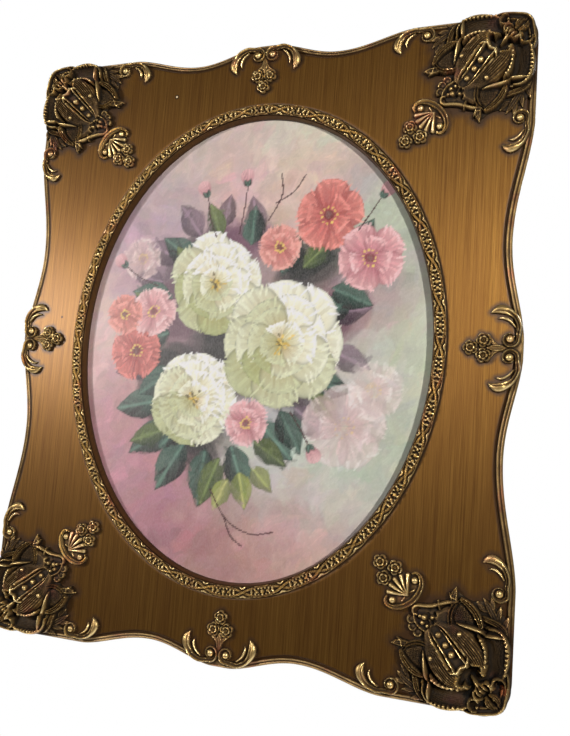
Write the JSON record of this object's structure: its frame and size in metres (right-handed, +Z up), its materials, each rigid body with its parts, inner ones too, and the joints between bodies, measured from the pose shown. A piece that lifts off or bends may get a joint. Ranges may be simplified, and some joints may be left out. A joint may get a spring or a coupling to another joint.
{
  "type": "framed oval oil painting",
  "caption": "Oval painted board set in a shaped wooden frame with cast and gilded corner carvings, scrolls, roses and an oval ribbon braid.",
  "frame": {"origin": "middle of the top rail on the flat back of the frame, 300 mm above the oval's centre, where the frame rests against the wall or hook that it hangs on", "axes": "+Z up along the painting's long axis, +Y out of the flat back towards the wall, so the painting faces -Y, +X to the painting's right as seen from the front"},
  "size_m": [0.5854, 0.0538, 0.681],
  "materials": {
    "stained_wood": "amber brown combed graining over wood, darker glaze in the rim groove and round the castings",
    "antique_gilt": "cast composition gilded with a brass-coloured paint, umber left in the hollows",
    "painted_board": "oil paint on a thin primed board, satin, no frame glass"
  },
  "bodies": {
    "root": {"frame": "stained_wood", "oval_braid": "antique_gilt", "painted_panel": "painted_board", "cartouche_top_right": "antique_gilt", "cartouche_top_left": "antique_gilt", "cartouche_bottom_right": "antique_gilt", "cartouche_bottom_left": "antique_gilt", "pendant_top_right": "antique_gilt", "pendant_top_left": "antique_gilt", "pendant_bottom_right": "antique_gilt", "pendant_bottom_left": "antique_gilt", "side_scroll_top_right": "antique_gilt", "side_scroll_top_left": "antique_gilt", "side_scroll_bottom_right": "antique_gilt", "side_scroll_bottom_left": "antique_gilt", "rail_scroll_top_right": "antique_gilt", "rail_scroll_top_left": "antique_gilt", "rail_scroll_bottom_right": "antique_gilt", "rail_scroll_bottom_left": "antique_gilt", "spray_right": "antique_gilt", "spray_left": "antique_gilt", "spray_top": "antique_gilt", "spray_bottom": "antique_gilt"}
  },
  "joints": []
}
